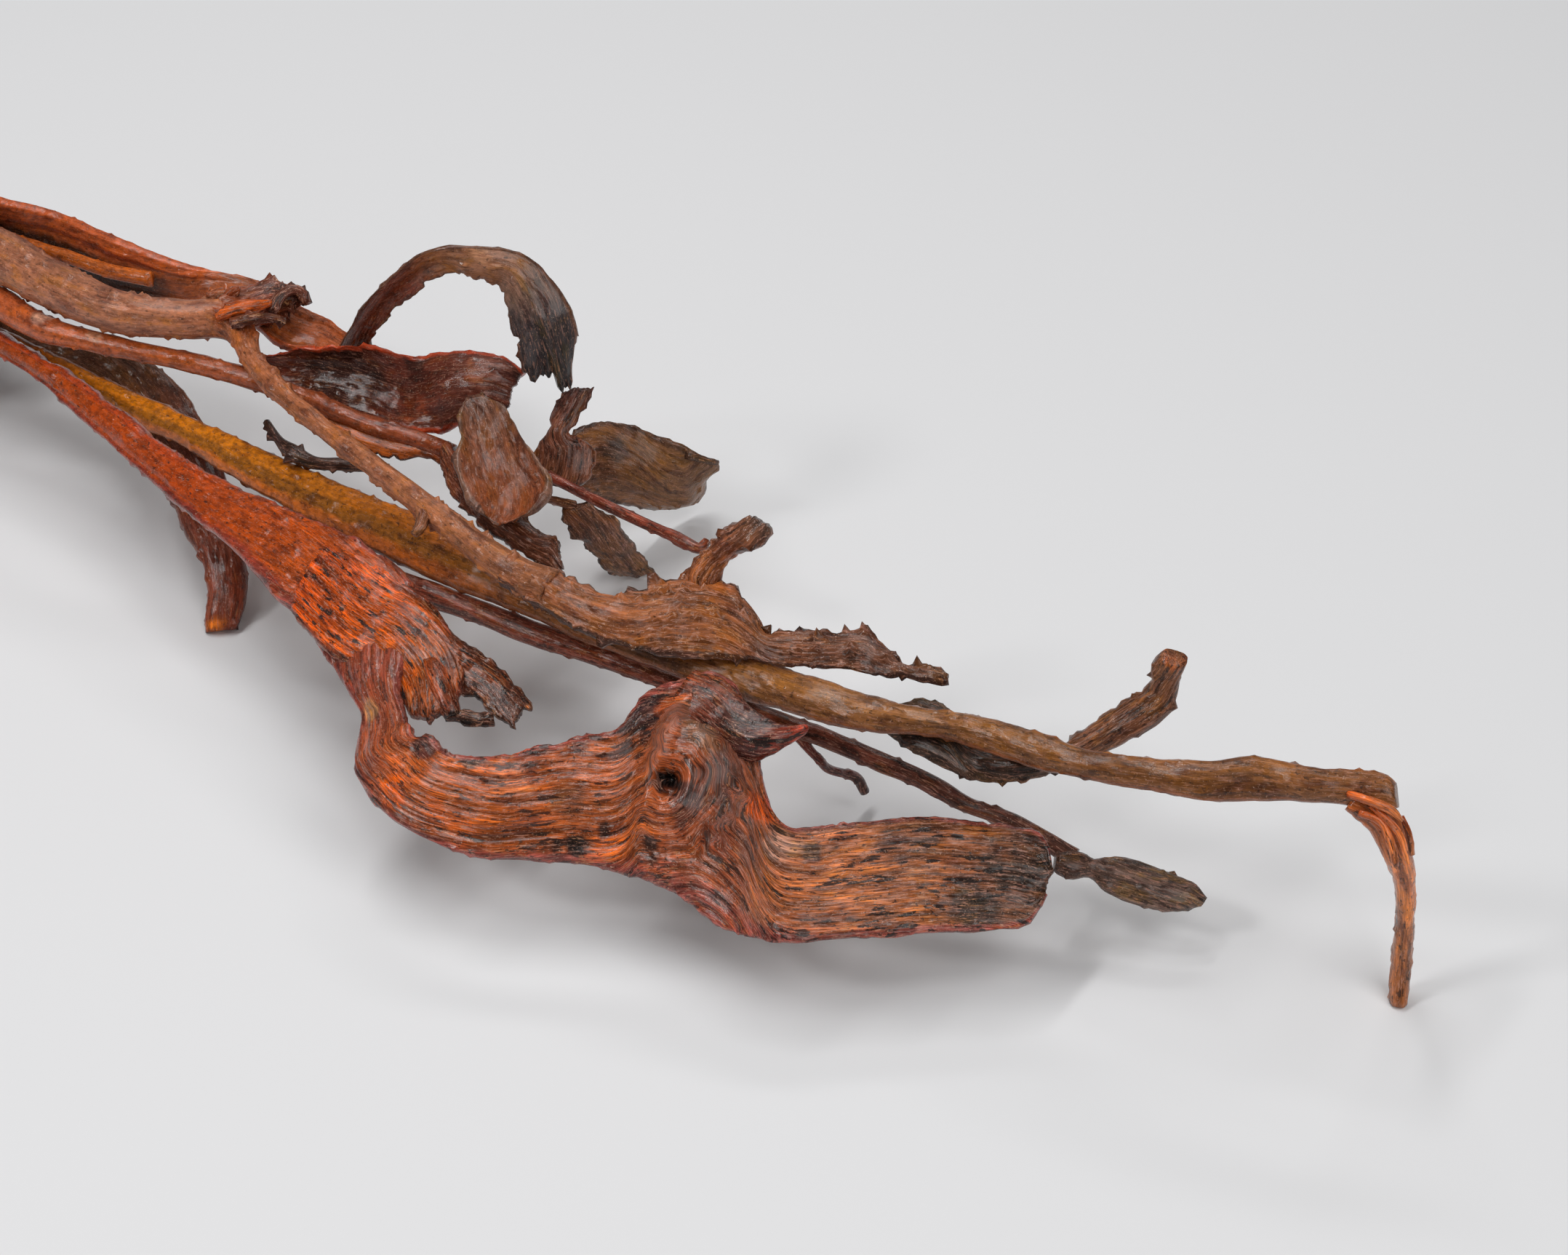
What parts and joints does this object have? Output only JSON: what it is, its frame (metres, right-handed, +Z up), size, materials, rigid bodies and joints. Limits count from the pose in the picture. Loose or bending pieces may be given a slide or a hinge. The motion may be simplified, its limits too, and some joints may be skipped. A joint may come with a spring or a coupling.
{
  "type": "dry root",
  "caption": "Dried plant root: a woody crown with long glossy strands that flatten into fibrous, ragged leaf blades, lying on its crown, a stub and a bent foot.",
  "frame": {"origin": "on the resting surface, below the middle of the object's box", "axes": "+X runs along the strands from the crown to the foot, +Z is up, and +Y points to the side where the small leaves are"},
  "size_m": [0.4417, 0.135, 0.0795],
  "materials": {
    "crown_bark": "rough",
    "bark_brown": "satin",
    "russet_gloss": "gloss",
    "orange_gloss": "gloss",
    "amber_gloss": "gloss",
    "dark_blade": "satin",
    "leaf_brown": "satin",
    "red_bark": "satin"
  },
  "bodies": {
    "root": {"crown": "crown_bark", "arching_strand": "russet_gloss", "inner_stub": "russet_gloss", "fan_strand": "bark_brown", "leafy_strand": "russet_gloss", "footed_strand": "amber_gloss", "hooked_strand": "dark_blade", "twig_strand": "red_bark", "strap_strand": "orange_gloss", "prop_strand": "red_bark", "front_leaf": "leaf_brown", "flag_leaf": "dark_blade", "back_leaf": "leaf_brown", "lower_leaf": "leaf_brown", "red_twig": "red_bark", "dark_twig": "dark_blade"}
  },
  "joints": []
}
